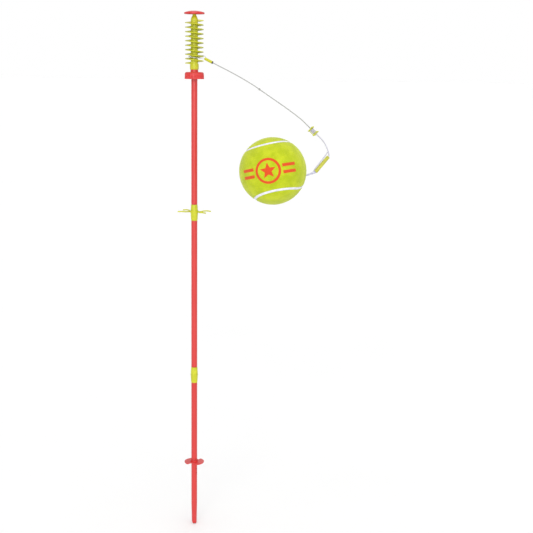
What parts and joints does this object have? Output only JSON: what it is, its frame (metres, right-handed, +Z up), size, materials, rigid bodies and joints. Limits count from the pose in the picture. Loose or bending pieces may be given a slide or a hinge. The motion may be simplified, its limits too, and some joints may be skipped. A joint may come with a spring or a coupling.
{
  "type": "tetherball set",
  "caption": "Tetherball set: a spiked tube pole with push-fit joints, a spiral top and a felt ball on a tether whose runner climbs the spiral.",
  "frame": {"origin": "on the pole's axis at lawn level, at the underside of the foot plate, where the ground spike's shank begins", "axes": "+Z up the pole; the ball hangs out towards +X"},
  "size_m": [0.4878, 0.3177, 1.7326],
  "materials": {
    "red_tube": "gloss paint",
    "red_plastic": "moulded",
    "yellow_plastic": "moulded",
    "olive_tube": "extruded",
    "yellow_sleeve": "ribbed",
    "wire": "drawn",
    "black_crimp": "moulded",
    "cord": "braided",
    "tail_rubber": "moulded",
    "black_rubber": "moulded",
    "felt": "napped felt"
  },
  "bodies": {
    "ground_stake": {"ground_spike": "red_tube", "foot_plate": "red_tube"},
    "lower_section": {"lower_pole": "red_tube", "lower_connector": "yellow_plastic"},
    "middle_section": {"middle_pole": "red_tube", "upper_connector": "yellow_plastic", "racket_fork": "yellow_plastic"},
    "upper_section": {"upper_pole": "red_tube"},
    "spiral_head": {"spiral": "yellow_plastic"},
    "cap": {"top_cap": "red_plastic"},
    "hand_collar": {"locking_collar": "red_plastic"},
    "ring_carrier": {"grip_ring": "black_rubber"},
    "runner": {"wire_loop": "wire", "loop_sleeve": "yellow_sleeve", "sleeve_crimp": "black_crimp"},
    "tether": {"tether_upper": "cord", "tether_knot": "cord", "adjuster_spool": "yellow_plastic", "spool_winding": "cord", "spool_bar": "yellow_plastic", "tether_lower": "cord", "link_tube": "olive_tube", "link_cord": "cord", "ball_tail": "tail_rubber", "tail_washer": "black_rubber"},
    "ball": {"felt_cover": "felt", "ball_shell_front": "black_rubber", "ball_shell_back": "black_rubber", "ball_grommet": "tail_rubber"}
  },
  "joints": [
    {"name": "lower_pole_lift", "type": "slide", "parent": "ground_stake", "child": "lower_section", "axis": [0, 0, 1], "range_m": [0, 0.05]},
    {"name": "middle_pole_lift", "type": "slide", "parent": "lower_section", "child": "middle_section", "axis": [0, 0, 1], "range_m": [0, 0.04]},
    {"name": "upper_pole_lift", "type": "slide", "parent": "middle_section", "child": "upper_section", "axis": [0, 0, 1], "range_m": [0, 0.04]},
    {"name": "spiral_lift", "type": "slide", "parent": "upper_section", "child": "spiral_head", "axis": [0, 0, 1], "range_m": [0, 0.13]},
    {"name": "cap_pull", "type": "slide", "parent": "spiral_head", "child": "cap", "axis": [0, 0, 1], "range_m": [0, 0.018]},
    {"name": "collar_turn", "type": "hinge", "parent": "spiral_head", "child": "hand_collar", "pos_m": [0, 0, 1.307], "axis": [0, 0, 1], "range_deg": [0, 90]},
    {"name": "runner_orbit", "type": "hinge", "parent": "spiral_head", "child": "ring_carrier", "pos_m": [0, 0, 1.309], "axis": [0, 0, 1], "range_deg": [-2520, 180]},
    {"name": "runner_climb", "type": "slide", "parent": "ring_carrier", "child": "runner", "axis": [0, 0, 1], "range_m": [-0.0072, 0.0992]},
    {"name": "ball_swing", "type": "hinge", "parent": "runner", "child": "tether", "pos_m": [0.0599, -0.0128, 1.3479], "axis": [-0.342, -0.9397, 0], "range_deg": [-18, 55]},
    {"name": "ball_spin", "type": "hinge", "parent": "tether", "child": "ball", "pos_m": [0.2556, -0.1739, 1.0195], "axis": [0.9917, 0.0367, -0.1231], "range_deg": [-180, 180]}
  ],
  "couplings": [
    {"joint": "runner_climb", "follows": "runner_orbit", "m_per_rad": -0.002252}
  ]
}
